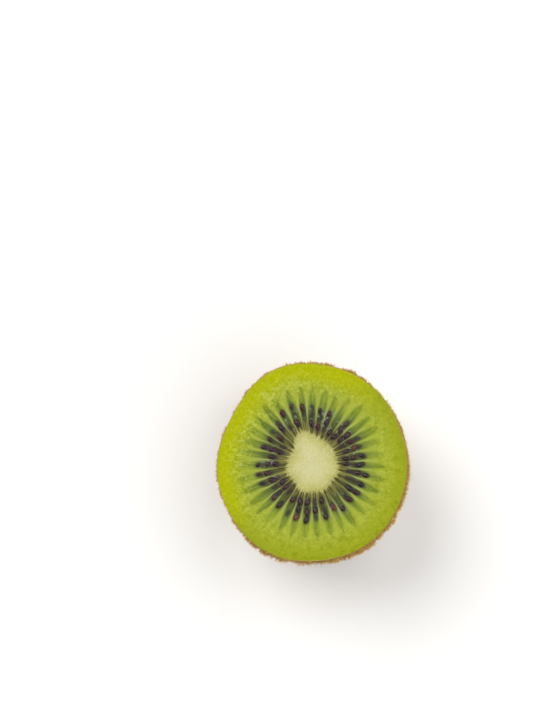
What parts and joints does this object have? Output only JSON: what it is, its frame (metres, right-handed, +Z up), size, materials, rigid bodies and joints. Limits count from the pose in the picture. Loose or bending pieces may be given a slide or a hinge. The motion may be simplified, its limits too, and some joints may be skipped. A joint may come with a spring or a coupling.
{
  "type": "kiwi fruit half",
  "caption": "Half of a kiwi fruit with fuzzy brown skin, cut across and resting on its round end: green flesh, ring of dark seeds and pale core show on the level cut face.",
  "frame": {"origin": "middle of the half's box at the level of its flat spot, where it rests", "axes": "+Z up, square to the level cut face, +Y along the cut face's longer width, +X across it"},
  "size_m": [0.051, 0.053, 0.0343],
  "materials": {
    "outer_flesh": "moist yellow-green fruit flesh, the skin outside it brown and fuzzy",
    "seed_ring": "moist dark green fruit flesh in fingers, with purple-black seeds",
    "core": "moist cream-coloured fruit flesh, finely grained",
    "skin": "thin dull olive-brown fruit skin",
    "fuzz": "short golden-brown curled plant hairs",
    "seed": "glossy purple-black seed coat"
  },
  "bodies": {
    "root": {"outer_flesh": "outer_flesh", "seed_ring": "seed_ring", "core": "core"}
  },
  "joints": []
}
